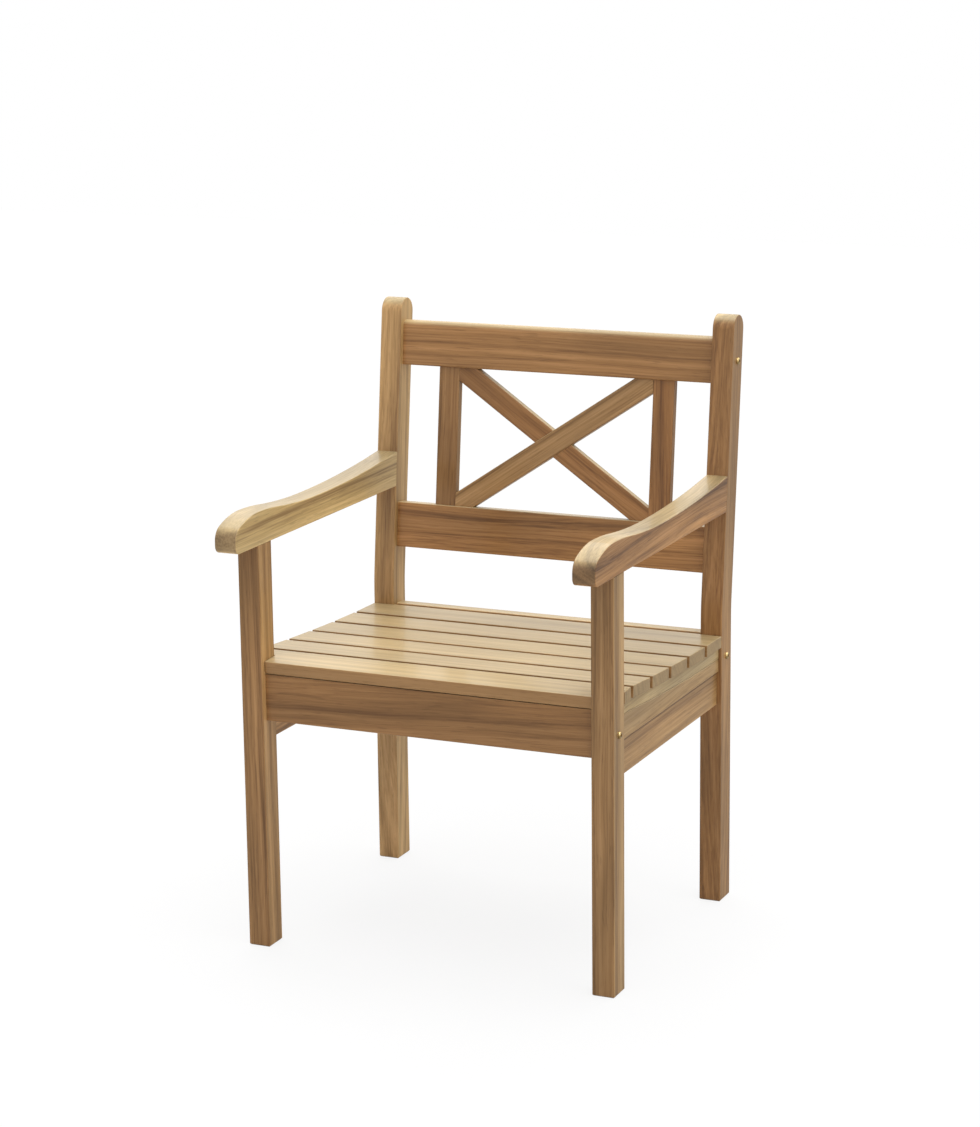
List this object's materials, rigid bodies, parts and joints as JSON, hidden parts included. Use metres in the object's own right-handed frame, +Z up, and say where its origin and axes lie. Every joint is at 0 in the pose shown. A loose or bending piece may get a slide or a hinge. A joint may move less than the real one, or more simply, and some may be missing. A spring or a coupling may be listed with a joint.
{
  "type": "garden chair",
  "caption": "Wooden garden armchair with curved arms, a dished slatted seat and a leaning back with crossed braces between its rails.",
  "frame": {"origin": "on the floor, under the middle of the bounding box", "axes": "+X to the chair's right side seen from the front, -Y to the front, where the noses of the arms point, +Z up"},
  "size_m": [0.5874, 0.5928, 0.8981],
  "materials": {
    "teak": "sanded and oiled, satin",
    "brass": "polished",
    "steel": "plain stainless"
  },
  "bodies": {
    "root": {"arm_dowels": "teak", "armrest_left": "teak", "armrest_right": "teak", "back_brace_front": "teak", "back_brace_rear": "teak", "back_upright_left": "teak", "back_upright_right": "teak", "barrel_nuts": "brass", "bearer_screws": "steel", "bearer_support_left": "teak", "bearer_support_right": "teak", "brace_dowels": "teak", "frame_bolts": "brass", "front_leg_left": "teak", "front_leg_right": "teak", "front_rail": "teak", "lower_back_rail": "teak", "rear_leg_left": "teak", "rear_leg_right": "teak", "rear_rail": "teak", "seat_bearer_left": "teak", "seat_bearer_right": "teak", "seat_slat_1": "teak", "seat_slat_2": "teak", "seat_slat_3": "teak", "seat_slat_4": "teak", "seat_slat_5": "teak", "seat_slat_6": "teak", "side_rail_left": "teak", "side_rail_right": "teak", "slat_screws": "steel", "top_rail": "teak"}
  },
  "joints": []
}
